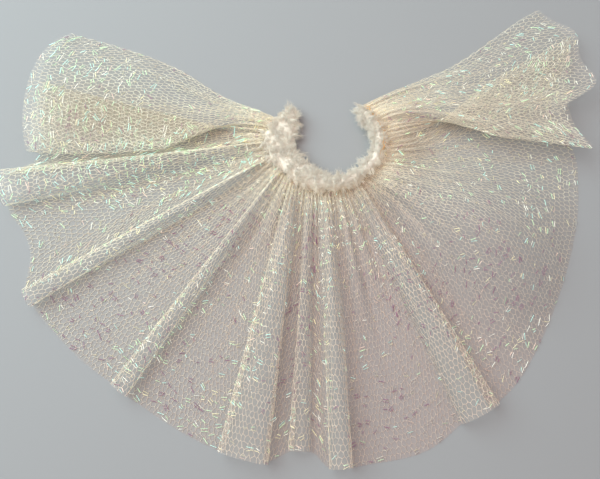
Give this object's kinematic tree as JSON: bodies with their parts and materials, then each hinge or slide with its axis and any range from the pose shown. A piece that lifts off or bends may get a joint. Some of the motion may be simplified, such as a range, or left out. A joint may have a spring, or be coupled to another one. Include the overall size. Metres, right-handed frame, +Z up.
{
  "type": "doll's gathered net skirt",
  "caption": "Doll-size gathered skirt of glittering hexagonal net on a fleecy waistband, open at the back and laid out flat as a fan with soft standing folds.",
  "frame": {"origin": "middle of the laid-out skirt's footprint, on the surface that it lies on", "axes": "+X along the fan's width, to the right as seen from above with the waist's opening at the far side; +Y from the front hem towards the open back; +Z up from the surface"},
  "size_m": [0.2394, 0.1878, 0.0211],
  "materials": {
    "net": "soft cream hexagonal net with iridescent film threads that glint green, aqua, yellow and violet",
    "fleece": "matt ivory pile fabric, with a tan thread at its sewn edge"
  },
  "bodies": {
    "root": {"net_panel": "net", "waistband": "fleece"}
  },
  "joints": []
}
